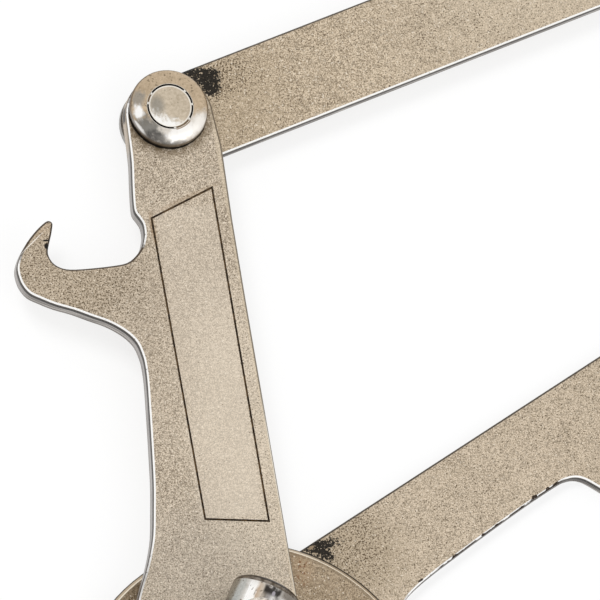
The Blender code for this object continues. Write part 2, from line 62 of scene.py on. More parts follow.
# Places and sizes on the tool, in millimetres of the frame
HUB = (0.0, 0.0)
STAND_PIVOT = (0.0, 78.2)
WORM_PIVOT = (-0.45, 9.3)
GRIP_TURN = math.radians(27.2)
STAND_TURN = math.radians(16.6)
WORM_TURN = math.radians(60.0)
LEVER_TOP, LEVER_THICK = 7.2, 2.6
STAND_TOP, STAND_THICK = 4.3, 2.0
GRIP_TOP, GRIP_THICK = 2.0, 2.0
GROOVE_FLOOR = 7.05
DISC_RADIUS = 22.65
DISC_FACE_RADIUS = 22.15
WASHER_TOP = 8.9
PEEN_RADIUS = 2.7
BORE_RADIUS = 3.0
SPOT_FACE_RADIUS = 2.9

# Ways that some marks face, as angles from the frame's X axis
# Rims that face this way get a painted highlight, the other rims painted shade
LIT_RIM_WAY = math.radians(-122.0)
SEAM_WAY = math.radians(-62.8)
SMEAR_WAY = math.radians(-63.0)

# The light and the dark tone of each metal
LEVER_TONES = ((0.73, 0.625, 0.495), (0.30, 0.240, 0.172))
STAND_TONES = ((0.73, 0.610, 0.460), (0.30, 0.230, 0.152))
GRIP_TONES = ((0.73, 0.615, 0.478), (0.35, 0.280, 0.195))
DISC_TONES = ((0.54, 0.430, 0.305), (0.24, 0.180, 0.115))
WASHER_TONES = ((0.62, 0.49, 0.345), (0.41, 0.315, 0.21))
PEEN_TONES = ((0.64, 0.55, 0.43), (0.42, 0.345, 0.25))
BARREL_TONES = ((0.76, 0.73, 0.68), (0.46, 0.42, 0.37))
STEEL_TONES = ((0.52, 0.50, 0.47), (0.31, 0.295, 0.27))
# A painted highlight for the ring's lips and bridges, and brown metal for its filled stretches
HIGHLIGHT_LIP, BROWN_LIP = (0.88, 0.84, 0.77), (0.20, 0.14, 0.085)

# Colours of wear and dirt, and of painted highlights, reflections, shadows and shade
RIM_HIGHLIGHT = (0.97, 0.96, 0.94)
CREAM_GLINT = (0.93, 0.87, 0.76)
SOOT, SOOT_STRENGTH = (0.015, 0.013, 0.011), 0.97
PIT_BROWN, FLECK = (0.075, 0.047, 0.021), (0.90, 0.81, 0.68)
SPECK_BROWN = (0.11, 0.08, 0.05)
LINE_DARK, LINE_BROWN = (0.030, 0.020, 0.012), (0.120, 0.075, 0.036)
GRIME_AND_SHADE, WASHER_SHADOW_DARK = (0.170, 0.120, 0.065), (0.022, 0.018, 0.014)
RIM_SHADE = (0.105, 0.085, 0.065)
LEVER_RIM_SHADE, LEVER_RIGHT_RIM_SHADE = (0.090, 0.066, 0.045), (0.230, 0.190, 0.140)
WALL_REFLECTION_DARK, WALL_REFLECTION_LIGHT = (0.100, 0.085, 0.075), (0.50, 0.47, 0.44)
LIT_LEFT_WALL, WALL_HEAD_SHADE, WALL_FOOT_SHADE = (0.55, 0.525, 0.51), (0.020, 0.016, 0.013), (0.16, 0.135, 0.115)
SEAM_DARK, CHIP_DARK = (0.040, 0.026, 0.018), (0.040, 0.028, 0.020)
WASHER_RIM_SHADE, WASHER_RIM_SHADE_BROWN = (0.22, 0.20, 0.18), (0.16, 0.112, 0.068)

# More colours of the lever, the stand and the grip
PANEL_TAN, RIGHT_EDGE_TAN = (0.66, 0.58, 0.48), (0.66, 0.555, 0.41)
SIDE_TAN, SIDE_BLOT = (0.62, 0.50, 0.36), (0.020, 0.016, 0.012)
STAND_FAR_TAN, STAND_END_TAN = (0.62, 0.53, 0.41), (0.46, 0.40, 0.33)
STAND_END_SHADE_LINE, STAND_END_SHADED_FOOT = (0.018, 0.014, 0.010), (0.05, 0.042, 0.034)
DISC_SHADOW_DARK = (0.030, 0.024, 0.018)

# More colours of the disc, the washer, the peen, the barrel and the steel
DISC_STREAK, DISC_LEFT, DISC_RUST = (0.25, 0.185, 0.115), (0.20, 0.145, 0.085), (0.18, 0.080, 0.035)
DISC_EDGE_SHADE, DISC_RIM, DISC_RIM_GLINT = (0.23, 0.175, 0.115), (0.50, 0.405, 0.290), (0.90, 0.81, 0.67)
DISC_RIM_SHADE, DISC_WALL_SHADE = (0.06, 0.048, 0.036), (0.12, 0.095, 0.07)
WASHER_LOWER_HIGHLIGHT, WASHER_SMEAR = (0.70, 0.655, 0.595), (0.30, 0.215, 0.14)
WASHER_FOOT_SHADE = (0.05, 0.04, 0.03)
PEEN_DARK_REFLECTION, PEEN_HIGHLIGHT, PEEN_EDGE_HIGHLIGHT = (0.27, 0.255, 0.225), (0.96, 0.95, 0.92), (0.90, 0.86, 0.79)
BARREL_BLOT, BARREL_VIOLET_HIGHLIGHT = (0.030, 0.026, 0.023), (0.40, 0.37, 0.40)
SPOT_FACE, SHOULDER_SHADE = (0.80, 0.75, 0.68), (0.150, 0.125, 0.100)
END_REFLECTION_DARK, END_REFLECTION_LIGHT = (0.10, 0.080, 0.060), (0.25, 0.215, 0.18)
END_REFLECTION_BLACK, STEEL_UNDERSIDE_SHADE = (0.035, 0.028, 0.022), (0.130, 0.120, 0.108)

# Noise levels at which pits and flecks begin, and how much a calm place raises the first
PIT_LEVEL, FLECK_LEVEL, CALM_RISE = 0.645, 0.66, 0.07

# Soft oval stains, and a painted highlight line on the hook: centre, half sizes, turn in degrees,
# softness, colour and strength
LEVER_STAINS = (
    ((-17.0, 59.0), (9.0, 8.0), 0.0, 0.5, (0.38, 0.292, 0.190), 0.30),
    ((-4.0, 17.0), (9.0, 10.0), 0.0, 0.5, (0.34, 0.31, 0.27), 0.28),
    ((-7.0, 50.0), (4.0, 12.0), 0.0, 0.5, (0.40, 0.33, 0.25), 0.18),
    ((3.5, 36.0), (6.5, 17.0), 0.0, 0.6, (0.82, 0.72, 0.58), 0.34),
    ((-19.0, 66.0), (2.2, 2.5), 0.0, 0.5, (0.55, 0.40, 0.26), 0.45))
FRAME_RUST = (
    ((-4.15, 63.0), (0.30, 2.0), 2.0, 0.5, (0.30, 0.19, 0.10), 0.55),
    ((0.5, 66.5), (4.2, 0.32), 20.0, 0.5, (0.36, 0.25, 0.15), 0.35))
# Two black nicks in the hook's edge, and a painted highlight line along it
HOOK_NICKS_AND_HIGHLIGHT = (
    ((-17.95, 61.85), (0.30, 0.38), 0.0, 0.25, SOOT, 1.0),
    ((-17.90, 62.60), (0.42, 0.12), -4.0, 0.35, SOOT, 1.0),
    ((-19.75, 62.42), (1.95, 0.065), 38.9, 0.5, (0.92, 0.87, 0.79), 0.75))
STAND_STAINS = (((6.0, 80.0), (9.0, 8.0), 0.0, 0.6, (0.40, 0.31, 0.20), 0.35),)
GRIP_STAINS = (((15.0, 20.0), (7.0, 6.0), 0.0, 0.6, (0.34, 0.265, 0.17), 0.40),)
GRIP_CLEAR_SPOT = (((11.05, 21.55), (0.42, 0.20), 25.0, 0.5, (0.42, 0.31, 0.20), 0.7),)
DISC_STAINS = (((9.0, 18.8), (1.2, 2.2), 0.0, 0.7, (0.44, 0.31, 0.19), 0.45),)

# Ragged ovals of soot: centre, half sizes, turn in degrees, seed and spread
STAND_SOOT = (
    ((6.15, 83.05), (2.05, 1.15), -4.0, 4.0, 0.85),
    ((4.4, 83.75), (1.9, 0.55), 4.0, 4.0, 0.85),
    ((7.15, 81.65), (0.75, 1.25), 8.0, 4.0, 1.3),
    ((6.35, 81.55), (0.85, 1.00), 35.0, 5.0, 1.0))
GRIP_SOOT = (
    ((12.2, 21.65), (2.35, 0.66), 11.0, 6.0, 1.2),
    ((12.3, 20.85), (1.5, 0.75), -38.0, 6.0, 1.3))

# Chips along the grip's lower rim: place along it, distance across it, and half sizes
GRIP_CHIPS = (
    (51.1, 4.02, 0.50, 0.26), (49.8, 4.08, 0.30, 0.30), (47.7, 4.02, 0.48, 0.38),
    (45.6, 3.84, 0.34, 0.26), (41.6, 3.66, 0.55, 0.26), (39.3, 3.62, 0.30, 0.26),
    (34.6, 3.40, 0.45, 0.20), (29.0, 3.20, 0.40, 0.14))

# Painted dark and bright reflections on the washer: centre from its pivot, half sizes,
# turn in degrees, colour and strength
WASHER_REFLECTIONS = (
    ((-3.35, -2.25), (1.15, 2.0), 38.0, (0.16, 0.155, 0.140), 0.88),
    ((-2.0, -3.95), (1.6, 0.70), -27.0, (0.075, 0.070, 0.065), 0.90),
    ((-0.4, -4.60), (1.9, 0.36), -3.0, (0.17, 0.16, 0.145), 0.80),
    ((-3.9, 1.3), (0.8, 1.1), -20.0, (0.27, 0.26, 0.24), 0.70),
    ((-4.15, -0.45), (0.55, 0.95), 10.0, (1.0, 0.99, 0.97), 0.92),
    ((1.1, -3.45), (2.1, 0.80), 14.0, (0.98, 0.96, 0.93), 0.84),
    ((3.3, -2.5), (1.3, 0.75), 52.0, (0.92, 0.88, 0.82), 0.76),
    ((-4.35, -2.1), (0.18, 1.3), 30.0, (0.90, 0.88, 0.85), 0.80))

# Painted reflection streaks round the barrel, from its left side over its top to its right side
BARREL_REFLECTIONS = (
    (0.008, (0.05, 0.045, 0.04)), (0.024, (0.35, 0.375, 0.36)), (0.120, (0.34, 0.365, 0.35)),
    (0.165, (0.60, 0.58, 0.54)), (0.205, (1.0, 0.99, 0.97)), (0.290, (1.0, 0.98, 0.94)),
    (0.330, (0.52, 0.39, 0.27)), (0.385, (0.60, 0.52, 0.43)), (0.430, (0.20, 0.17, 0.14)),
    (0.500, (0.36, 0.34, 0.33)), (0.560, (0.80, 0.78, 0.74)), (0.620, (0.30, 0.28, 0.26)),
    (0.700, (0.62, 0.59, 0.55)), (0.800, (0.36, 0.34, 0.31)), (0.900, (0.55, 0.53, 0.49)),
    (0.985, (0.06, 0.05, 0.045)))

# The ring round the peened rivet, in degrees: its bridges, and the stretches that brown metal
# fills, each with the room left at its outer side in millimetres
BRIDGE_ANGLES, BRIDGE_HALF = (139.3, 166.8, 40.7, 1.1, -39.7, -85.8), 3.0
BROWN_GAPS = ((-83.0, -42.5, 0.06), (142.0, 164.0, 0.05))
ARC_STEP = 4.0

# Floor, world and lamps, in metres and watts
FLOOR_SIZE, FLOOR_LEVEL = 3.0, -0.00003
FLOOR_COLOUR, FLOOR_GLOW = (0.93, 0.93, 0.93), 0.76
WORLD_LEVEL = 0.72
AIM = (0.014, 0.053, 0.005)
KEY_PLACE, KEY_SIZE, KEY_ENERGY = (-0.34, 0.36, 0.85), 0.32, 3.8
FRONT_PLACE, FRONT_SIZE, FRONT_ENERGY = (0.33, -0.68, 1.20), 1.1, 3.4

# The photograph's right and up, and the view's centre, width and distance
RIGHT = Vector((0.96757, -0.14712, 0.20560))
UP = Vector((0.08232, 0.95240, 0.29380))
VIEW_CENTRE = Vector((13.73, 52.78, 5.0)) * MM
VIEW_WIDTH, VIEW_DISTANCE = 0.075, 1.5
SENSOR_WIDTH, VIEW_REACH = 36.0, 20.0


def as_colour(value):
    """Add the fourth value of a colour, and leave a socket alone."""
    if isinstance(value, tuple) and len(value) == 3:
        return (*value, 1.0)
    return value


def scaled(colour, share):
    """Give a share of a colour."""
    return tuple(share * part for part in colour)


def from_pivot(pivot, shift):
    """Give the place at a shift from a pivot."""
    return pivot[0] + shift[0], pivot[1] + shift[1]


class Shader:
    """Builds one metal, whose texture space is the frame in millimetres."""

    def __init__(self, name):
        self.material = bpy.data.materials.new(name)
        self.material.use_nodes = True
        self.tree = self.material.node_tree
        self.shader = self.tree.nodes["Principled BSDF"]
        place = self.tree.nodes.new("ShaderNodeTexCoord")
        scale = self.tree.nodes.new("ShaderNodeMapping")
        scale.inputs["Scale"].default_value = (1.0 / MM,) * 3
        self.link(place.outputs["Object"], scale.inputs["Vector"])
        self.mm = scale.outputs["Vector"]
        self.x, self.y, self.z = self.split(self.mm)
        self.nx, self.ny, self.nz = self.split(place.outputs["Normal"])
        self.flat = self.math("ABSOLUTE", self.nz)
        self.front = self.step(self.nz, 0.0, 0.4)
        self.colour = None
        self.height = None

    def link(self, start, end):
        self.tree.links.new(start, end)

    def give(self, value, socket):
        """Link a socket to another, or set it to a plain value."""
        if isinstance(value, bpy.types.NodeSocket):
            self.link(value, socket)
        else:
            socket.default_value = value

    def split(self, vector):
        parts = self.tree.nodes.new("ShaderNodeSeparateXYZ")
        self.link(vector, parts.inputs["Vector"])
        return tuple(parts.outputs)

    def math(self, operation, first, second=0.0, clamp=False):
        made = self.tree.nodes.new("ShaderNodeMath")
        made.operation = operation
        made.use_clamp = clamp
        self.give(first, made.inputs[0])
        self.give(second, made.inputs[1])
        return made.outputs[0]

    def total(self, *terms, start=0.0, clamp=False):
        """Add up values times their weights."""
        value = start
        for index, (term, weight) in enumerate(terms):
            last = index == len(terms) - 1
            value = self.math("ADD", value, self.math("MULTIPLY", term, weight), clamp and last)
        return value

    def product(self, *values):
        value = values[0]
        for other in values[1:]:
            value = self.math("MULTIPLY", value, other)
        return value

    def most(self, *values):
        value = values[0]
        for other in values[1:]:
            value = self.math("MAXIMUM", value, other)
        return value

    def less(self, value):
        """Give one minus a value."""
        return self.math("SUBTRACT", 1.0, value)

    def above(self, value, level, gain):
        """Give how far a value is above a level, times a gain, from 0 to 1."""
        return self.math("MULTIPLY", self.math("SUBTRACT", value, level), gain, clamp=True)

    def noise(self, scale, detail=2.0, rough=0.5, stretch=(1.0, 1.0, 1.0), seed=0.0, vector=None):
        """Give a noise value; scale is in cells per millimetre."""
        mapping = self.tree.nodes.new("ShaderNodeMapping")
        mapping.inputs["Scale"].default_value = stretch
        mapping.inputs["Location"].default_value = (seed, seed * 0.7, seed * 1.3)
        self.link(vector or self.mm, mapping.inputs["Vector"])
        made = self.tree.nodes.new("ShaderNodeTexNoise")
        self.link(mapping.outputs["Vector"], made.inputs["Vector"])
        made.inputs["Scale"].default_value = scale
        made.inputs["Detail"].default_value = detail
        made.inputs["Roughness"].default_value = rough
        return made.outputs["Fac"]

    def step(self, value, low, high):
        """Rise smoothly from 0 at low to 1 at high, which may be the lesser of the two."""
        made = self.tree.nodes.new("ShaderNodeMapRange")
        made.interpolation_type = "SMOOTHSTEP"
        self.give(value, made.inputs["Value"])
        made.inputs["From Min"].default_value = low
        made.inputs["From Max"].default_value = high
        return made.outputs["Result"]

    def band(self, value, low, high, soft):
        """Give 1 between two values, with soft ends."""
        return self.product(self.step(value, low - soft, low + soft),
                            self.step(value, high + soft, high - soft))

    def wall(self):
        """Mask the faces that stand upright."""
        return self.step(self.flat, 0.50, 0.35)

    def depth(self, top):
        """Give how far a place is below a plate's top face."""
        return self.total((self.z, -1.0), start=top)

    def mix(self, amount, first, second):
        """Mix two colours by an amount."""
        made = self.tree.nodes.new("ShaderNodeMix")
        made.data_type = "RGBA"
        sockets = {s.identifier: s for s in made.inputs}
        self.give(amount, sockets["Factor_Float"])
        self.give(as_colour(first), sockets["A_Color"])
        self.give(as_colour(second), sockets["B_Color"])
        return [s for s in made.outputs if s.identifier == "Result_Color"][0]

    def ramp(self, value, stops):
        """Turn a value into a colour by a row of stops."""
        made = self.tree.nodes.new("ShaderNodeValToRGB")
        elements = made.color_ramp.elements
        while len(elements) < len(stops):
            elements.new(0.5)
        for element, (place, colour) in zip(elements, stops):
            element.position = place
            element.color = as_colour(colour)
        self.link(value, made.inputs["Fac"])
        return made.outputs["Color"]

    def paint(self, mask, colour, strength=1.0):
        """Lay a colour over the surface where a mask says so."""
        amount = mask if strength == 1.0 else self.product(mask, strength)
        self.colour = self.mix(amount, self.colour, colour)

    def facing(self, turn):
        """Give how far a face looks towards a direction in the frame's plane."""
        return self.total((self.nx, math.cos(turn)), (self.ny, math.sin(turn)))

    def local(self, centre, turn=0.0):
        """Give the places along and across a turned line through a point."""
        shift_x = self.math("SUBTRACT", self.x, centre[0])
        shift_y = self.math("SUBTRACT", self.y, centre[1])
        along = self.total((shift_x, math.cos(turn)), (shift_y, math.sin(turn)))
        across = self.total((shift_x, -math.sin(turn)), (shift_y, math.cos(turn)))
        return along, across

    def away(self, centre, sizes=(1.0, 1.0), turn=0.0):
        """Give the distance from a point, as a share of an oval's half sizes."""
        along, across = self.local(centre, turn)
        along = self.math("DIVIDE", along, sizes[0])
        across = self.math("DIVIDE", across, sizes[1])
        square = self.math("ADD", self.product(along, along), self.product(across, across))
        return self.math("SQRT", square)

    def oval(self, centre, sizes, turn=0.0, soft=0.35):
        """Mask a soft oval."""
        return self.step(self.away(centre, sizes, turn), 1.0 + soft, 1.0 - soft)

    def ragged(self, centre, sizes, turn=0.0, seed=0.0, spread=1.0):
        """Mask an oval whose edge breaks up into specks."""
        fine = self.noise(3.4, 2.0, 0.6, seed=seed + 2.0)
        broad = self.noise(0.9, 2.0, 0.5, seed=seed)
        field = self.total((self.away(centre, sizes, turn), 1.0), (fine, 2.2 * spread),
                           (broad, 0.9 * spread), start=-1.55 * spread)
        specks = self.step(self.noise(4.6, 1.0, seed=seed + 5.0), 0.64, 0.70)
        return self.product(self.step(field, 1.06, 0.94), self.less(specks), self.front)

    def lay_ovals(self, rows):
        """Lay soft ovals over the surface."""
        for centre, sizes, turn, soft, colour, strength in rows:
            self.paint(self.oval(centre, sizes, math.radians(turn), soft), colour, strength)

    def blacken(self, rows):
        """Lay soot over the surface, as one patch of ragged ovals."""
        masks = [self.ragged(centre, sizes, math.radians(turn), seed, spread)
                 for centre, sizes, turn, seed, spread in rows]
        self.paint(self.most(*masks), SOOT, SOOT_STRENGTH)

    def close(self, metallic, roughness, bump):
        """Join the colour, roughness and relief to the shader."""
        self.link(self.colour, self.shader.inputs["Base Color"])
        self.shader.inputs["Metallic"].default_value = metallic
        self.give(roughness, self.shader.inputs["Roughness"])
        relief = self.tree.nodes.new("ShaderNodeBump")
        relief.inputs["Strength"].default_value = 0.6
        relief.inputs["Distance"].default_value = bump * MM
        self.link(self.height, relief.inputs["Height"])
        self.link(relief.outputs["Normal"], self.shader.inputs["Normal"])
        return self.material


class Plate(Shader):
    """Worn nickel plate: grained and pitted, with a painted highlight on the rims that face one
    way, painted shade on the other rims, and walls painted with grey reflection streaks and shade.
    """

    def __init__(self, name, tones, seed):
        super().__init__(name)
        light, dark = tones
        self.seed = seed
        large = self.noise(0.10, 2.0, seed=seed)
        middle = self.noise(0.7, 2.0, seed=seed + 5.0)
        self.grain = self.noise(4.6, 2.0, 0.65, seed=seed + 9.0)
        dust = self.noise(7.6, 1.0, 0.5, seed=seed + 11.0)
        tone = self.total((large, 0.45), (middle, 0.35), (self.grain, 2.2), (dust, 3.2),
                          start=-2.525, clamp=True)
        self.colour = self.mix(tone, dark, light)
        lines = self.math("SUBTRACT", self.noise(2.6, 1.0, seed=seed + 21.0), 0.5)
        worms = self.step(self.math("ABSOLUTE", lines), 0.085, 0.030)
        broken = self.step(self.noise(1.9, 2.0, seed=seed + 23.0), 0.44, 0.54)
        self.paint(self.product(worms, broken), scaled(dark, 0.50), 0.50)
        self.height = self.grain

    def pit(self, crowd, reach, calm=None):
        """Scatter dark pits and light flecks, closer by a reach where a mask crowds them."""
        cloud = self.step(self.noise(0.2, 2.0, seed=self.seed + 13.0), 0.35, 0.75)
        field = self.most(self.product(cloud, 0.45), crowd)
        level = self.total((field, -reach), start=PIT_LEVEL)
        if calm is not None:
            level = self.total((calm, CALM_RISE), start=level)
        pits = self.above(self.noise(4.9, 1.0, 0.5, seed=self.seed + 17.0), level, 18.0)
        self.paint(pits, PIT_BROWN, 0.86)
        flecks = self.above(self.noise(3.8, 1.0, 0.4, seed=self.seed + 19.0), FLECK_LEVEL, 16.0)
        self.paint(flecks, FLECK, 0.6)
        self.height = self.total((self.grain, 0.6), (pits, -0.9))

    def edges(self, top, thick, shaded_rim_colour=RIM_SHADE):
        """Paint a highlight on the rims that face one way and shade on the others, and paint the
        walls with grey reflection streaks, lighter where they face left, and shade at their head
        and foot.
        """
        depth = self.depth(top)
        rim = self.product(self.step(self.flat, 0.35, 0.50), self.step(self.flat, 0.96, 0.88))
        wall = self.wall()
        # Walls: painted reflection streaks in grey, lighter where they face left, and painted shade
        # at their head and foot
        streaks = self.noise(1.0, 3.0, 0.6, stretch=(0.14, 0.14, 3.4), seed=self.seed + 25.0)
        grey = self.mix(self.step(streaks, 0.36, 0.62), WALL_REFLECTION_DARK, WALL_REFLECTION_LIGHT)
        left = self.step(self.nx, -0.60, -0.95)
        self.paint(wall, self.mix(self.product(left, 0.5), grey, LIT_LEFT_WALL))
        head = self.step(depth, 1.10, 0.75)
        foot = self.step(depth, thick - 0.75, thick - 0.30)
        self.paint(self.product(wall, head), WALL_HEAD_SHADE, 0.95)
        self.paint(self.product(wall, foot), WALL_FOOT_SHADE, 0.55)
        # Painted highlight on the rims that face one way, broken by nicks, and painted shade on the
        # other rims
        lit_side = self.step(self.facing(LIT_RIM_WAY), -0.05, 0.22)
        nicks = self.step(self.noise(1.1, 3.0, 0.6, seed=self.seed + 29.0), 0.27, 0.36)
        upper_rim = self.step(depth, 0.225, 0.165)
        lower_rim = self.step(self.z, top - 1.0, top - 1.2)
        highlight = self.product(lit_side, nicks, self.most(upper_rim, lower_rim))
        self.paint(rim, self.mix(highlight, shaded_rim_colour, RIM_HIGHLIGHT))

    def finish(self):
        rough = self.total((self.grain, 0.20), start=0.34)
        return self.close(metallic=0.86, roughness=rough, bump=0.03)


class Rubbed(Shader):
    """Metal that hands have polished, with some brown left in it."""

    def __init__(self, name, tones, seed):
        super().__init__(name)
        light, dark = tones
        self.seed = seed
        self.middle = self.noise(0.55, 3.0, 0.6, seed=seed)
        fine = self.noise(2.8, 2.0, 0.7, seed=seed + 4.0)
        tone = self.total((self.middle, 1.4), (fine, 1.7), start=-1.05, clamp=True)
        self.colour = self.mix(tone, dark, light)
        self.height = self.total((self.noise(0.35, 2.0, seed=seed + 12.0), 1.0), (fine, 0.15))

    def speckle(self, strength, level=0.68):
        """Leave brown specks in the surface."""
        specks = self.above(self.noise(2.7, 1.0, 0.4, seed=self.seed + 8.0), level, 16.0)
        self.paint(specks, SPECK_BROWN, strength)

    def finish(self, rough, bump):
        spread = self.total((self.middle, 0.16), start=rough)
        return self.close(metallic=1.0, roughness=spread, bump=bump)


def lever_finish():
    s = Plate("worn_nickel_lever", LEVER_TONES, seed=1.0)
    s.lay_ovals(LEVER_STAINS)
    panel = s.product(s.band(s.x, -3.6, 4.3, 0.3), s.band(s.y, 25.0, 65.5, 0.3))
    s.paint(panel, PANEL_TAN, 0.28)
    s.pit(s.oval((-15.0, 58.0), (9.0, 8.0)), reach=0.085, calm=panel)
    s.lay_ovals(FRAME_RUST)

    # Tan strip along the straight right edge
    lean = s.total((s.x, 1.0), (s.y, 0.01965), start=-7.40)
    s.paint(s.step(lean, -0.62, -0.48), RIGHT_EDGE_TAN, 0.45)

    # Grime with painted shade on the lower side of the washer, and a painted shadow line where the
    # washer meets the lever
    distance = s.away(STAND_PIVOT)
    low = s.step(s.y, STAND_PIVOT[1] + 1.5, STAND_PIVOT[1] - 2.5)
    cloud = s.step(s.noise(1.6, 4.0, 0.6, seed=22.0), 0.30, 0.58)
    s.paint(s.product(s.step(distance, 6.6, 5.2), cloud, low, s.front), GRIME_AND_SHADE, 0.80)
    wobble = s.total((s.noise(1.0, 2.0, seed=24.0), 0.3), (distance, 1.0), start=-0.15)
    s.paint(s.product(s.step(wobble, 5.16, 5.04), s.front), WASHER_SHADOW_DARK)

    # Rims and walls with painted highlight and shade, a painted glint low on the right, and a tan
    # patch beside the washer
    right = s.product(s.step(s.nx, 0.45, 0.65), s.step(s.x, -3.0, 0.0))
    s.edges(LEVER_TOP, LEVER_THICK, s.mix(right, LEVER_RIM_SHADE, LEVER_RIGHT_RIM_SHADE))
    glint = s.product(s.step(s.z, LEVER_TOP - 0.15, LEVER_TOP - 0.10), s.step(s.flat, 0.96, 0.90),
                      s.step(s.nx, 0.10, 0.30), s.step(s.y, 42.0, 34.0))
    s.paint(glint, CREAM_GLINT, 0.85)
    side = s.product(s.wall(), s.oval((-5.2, 77.8), (1.6, 4.2), soft=0.4))
    s.paint(side, SIDE_TAN, 0.60)
    blot = s.product(side, s.oval((-5.2, 78.4), (1.2, 1.0), soft=0.3), s.band(s.z, 5.1, 6.5, 0.15))
    s.paint(blot, SIDE_BLOT, 0.95)
    s.lay_ovals(HOOK_NICKS_AND_HIGHLIGHT)

    # Dirt in the engraved frame's lines
    cut = s.band(s.z, GROOVE_FLOOR - 0.05, LEVER_TOP - 0.03, 0.01)
    not_rim = s.most(s.step(s.flat, 0.88, 0.94), s.step(s.flat, 0.45, 0.35))
    dirt = s.mix(s.step(s.noise(0.9, 3.0, 0.6, seed=26.0), 0.40, 0.60), LINE_DARK, LINE_BROWN)
    s.paint(s.product(cut, not_rim), dirt)
    return s.finish()


def stand_finish():
    s = Plate("worn_nickel_stand", STAND_TONES, seed=31.0)
    s.lay_ovals(STAND_STAINS)
    along = s.local(STAND_PIVOT, STAND_TURN)[0]
    s.paint(s.step(along, 22.0, 50.0), STAND_FAR_TAN, 0.40)
    s.pit(s.oval((8.0, 82.8), (4.5, 3.0), STAND_TURN, soft=0.6), reach=0.12)
    s.edges(STAND_TOP, STAND_THICK)
    s.blacken(STAND_SOOT)

    # The stand's end beside the washer: tan, then a painted shade line, then a foot in painted
    # shade
    end = s.product(s.step(s.x, -3.2, -4.0), s.step(s.flat, 0.97, 0.90))
    s.paint(s.product(end, s.step(s.z, 3.95, 3.75)), STAND_END_TAN, 0.7)
    s.paint(s.product(end, s.band(s.z, 2.95, 3.85, 0.10)), STAND_END_SHADE_LINE, 0.97)
    s.paint(s.product(end, s.step(s.z, 2.62, 2.48)), STAND_END_SHADED_FOOT, 0.85)
    return s.finish()


def grip_finish():
    s = Plate("worn_nickel_grip", GRIP_TONES, seed=57.0)
    s.lay_ovals(GRIP_STAINS)
    s.pit(s.oval((16.0, 21.5), (4.5, 5.5), soft=0.6), reach=0.100)
    s.edges(GRIP_TOP, GRIP_THICK)
    # Painted shadow on the grip just outside the disc's edge
    disc_shadow = s.step(s.away(HUB), DISC_RADIUS + 0.78, DISC_RADIUS + 0.70)
    s.paint(s.product(disc_shadow, s.front), DISC_SHADOW_DARK, 0.95)
    s.blacken(GRIP_SOOT)
    s.lay_ovals(GRIP_CLEAR_SPOT)

    # A broken dark seam in the lower wall, and chips in the rim above it
    along = s.local(HUB, GRIP_TURN)[0]
    low = s.step(s.facing(SEAM_WAY), 0.30, 0.45)
    broken = s.step(s.noise(0.8, 3.0, 0.6, seed=71.0), 0.40, 0.47)
    depth = s.depth(GRIP_TOP)
    seam = s.product(s.band(along, 32.0, 52.2, 0.6), low, broken,
                     s.step(depth, 1.3, 1.0), s.step(depth, 0.06, 0.14))
    s.paint(seam, SEAM_DARK, 0.95)
    for place, side, length, width in GRIP_CHIPS:
        centre = (place * math.cos(GRIP_TURN) - side * math.sin(GRIP_TURN),
                  place * math.sin(GRIP_TURN) + side * math.cos(GRIP_TURN))
        chip = s.ragged(centre, (length, width), GRIP_TURN, seed=place, spread=0.55)
        s.paint(chip, CHIP_DARK)
    return s.finish()


def disc_finish():
    s = Plate("worn_nickel_disc", DISC_TONES, seed=83.0)

    # Streaks that run round the disc
    radius = s.away(HUB)
    rings = s.tree.nodes.new("ShaderNodeCombineXYZ")
    s.link(radius, rings.inputs[0])
    s.link(s.product(s.x, 0.10), rings.inputs[1])
    s.link(s.product(s.y, 0.10), rings.inputs[2])
    streaks = s.noise(1.5, 3.0, 0.6, seed=87.0, vector=rings.outputs["Vector"])
    s.paint(s.step(streaks, 0.62, 0.36), DISC_STREAK, 0.50)
    s.paint(s.step(s.x, -4.0, -9.0), DISC_LEFT, 0.40)

    s.lay_ovals(DISC_STAINS)
    rust = s.product(s.oval((8.8, 18.4), (0.9, 2.3), soft=0.6),
                     s.step(s.noise(2.4, 2.0, 0.5, seed=91.0), 0.55, 0.64))
    s.paint(rust, DISC_RUST, 0.80)
    s.pit(s.oval((-16.0, 14.0), (8.0, 8.0)), reach=0.11)

    # The rim, from the face's edge outwards: painted shade just inside it, a tan chamfer with a
    # painted highlight near its inner edge, then painted shade on its outer part and the wall
    face = DISC_FACE_RADIUS
    s.paint(s.product(s.step(radius, 21.5, 21.9), s.front), DISC_EDGE_SHADE, 0.5)
    s.paint(s.step(radius, face, face + 0.08), DISC_RIM)
    s.paint(s.band(radius, face - 0.06, face + 0.10, 0.03), DISC_RIM_GLINT, 0.90)
    s.paint(s.step(radius, face + 0.32, face + 0.40), DISC_RIM_SHADE)
    s.paint(s.wall(), DISC_WALL_SHADE, 0.9)
    return s.finish()


